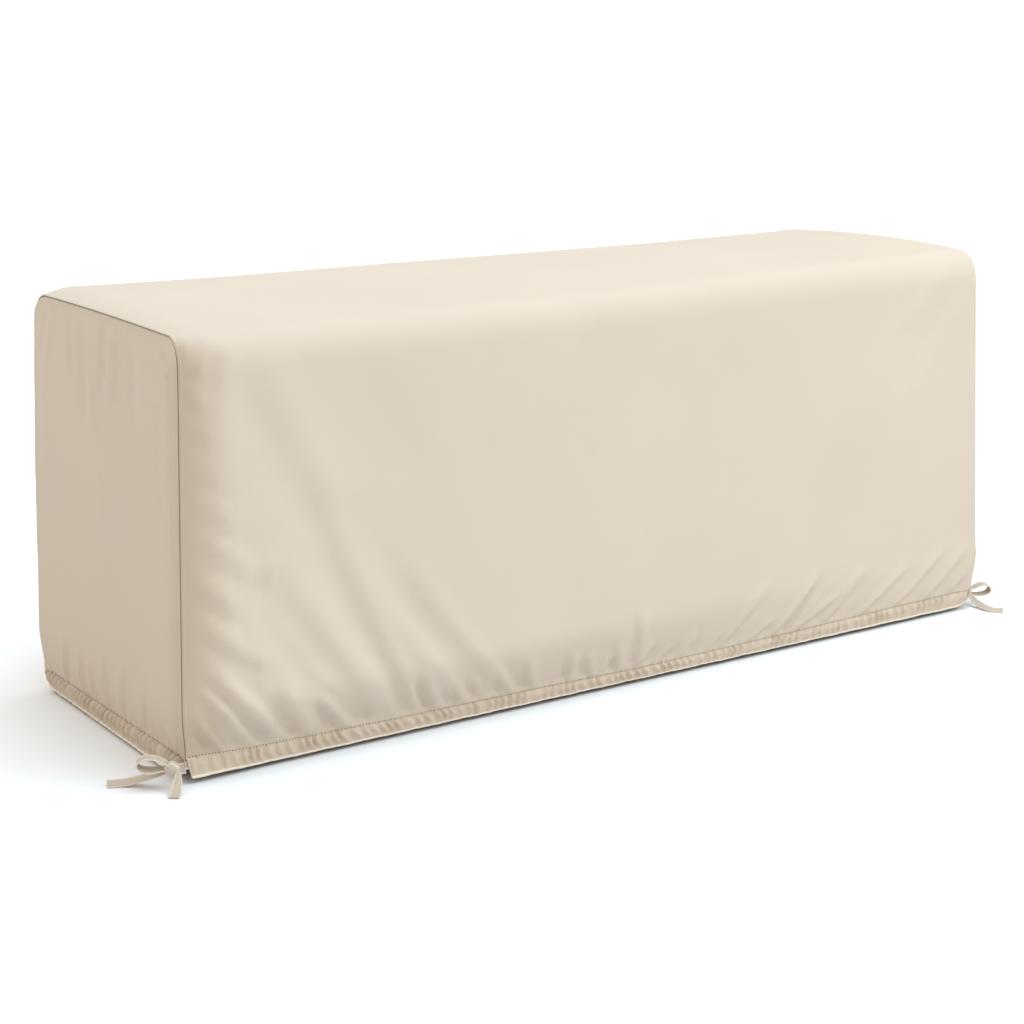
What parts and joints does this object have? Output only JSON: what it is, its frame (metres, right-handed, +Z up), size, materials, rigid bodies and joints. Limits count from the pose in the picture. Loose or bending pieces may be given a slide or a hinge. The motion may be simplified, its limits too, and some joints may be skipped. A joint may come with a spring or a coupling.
{
  "type": "outdoor sofa cover",
  "caption": "Long hollow box of beige coated cloth, open underneath, with a gathered casing round its foot and a tape tied in a half bow at each front corner.",
  "frame": {"origin": "middle of the underside of the top, where the top of a sofa carries the cover", "axes": "+X to the right along the front, +Y to the back, +Z up"},
  "size_m": [2.3411, 0.7841, 0.8972],
  "materials": {
    "wrap_cloth": "smooth coated polyester, soft sheen",
    "end_cloth": "smooth coated polyester, soft sheen",
    "tie_tape": "flat woven tape with stitched edges"
  },
  "bodies": {
    "root": {"wrap_panel": "wrap_cloth", "left_end_panel": "end_cloth", "right_end_panel": "end_cloth", "left_tie": "tie_tape", "right_tie": "tie_tape"}
  },
  "joints": []
}
